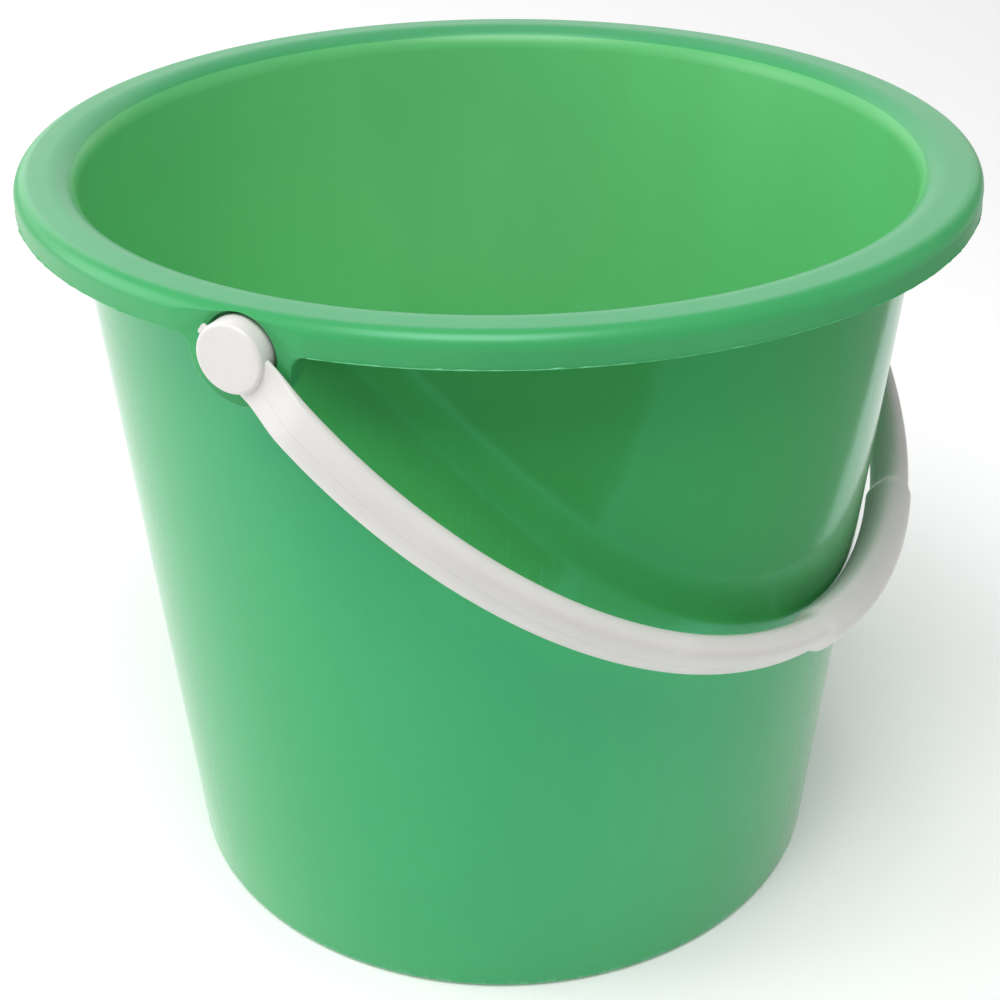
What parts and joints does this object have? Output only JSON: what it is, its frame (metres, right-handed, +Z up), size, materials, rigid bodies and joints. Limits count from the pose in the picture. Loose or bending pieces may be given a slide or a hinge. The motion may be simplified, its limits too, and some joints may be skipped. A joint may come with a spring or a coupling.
{
  "type": "plastic bucket with bail handle",
  "caption": "Round tapered plastic bucket with a wide flanged rim and a swinging moulded bail handle, for sand, water or cleaning.",
  "frame": {"origin": "centre of the foot ring, on the ground", "axes": "+Z up along the bucket's axis, X along the bail's pivot axis, the bail rests against the wall on the -Y side"},
  "size_m": [0.33, 0.32, 0.266],
  "materials": {
    "shell_plastic": "glossy moulded polypropylene, green",
    "bail_plastic": "satin moulded polypropylene, white"
  },
  "bodies": {
    "bucket": {"bucket_shell": "shell_plastic"},
    "bail": {"bail_handle": "bail_plastic"}
  },
  "joints": [
    {"name": "bail_swing", "type": "hinge", "parent": "bucket", "child": "bail", "pos_m": [0, 0, 0.2534], "axis": [-1, 0, 0], "range_deg": [0, 263.5]}
  ]
}
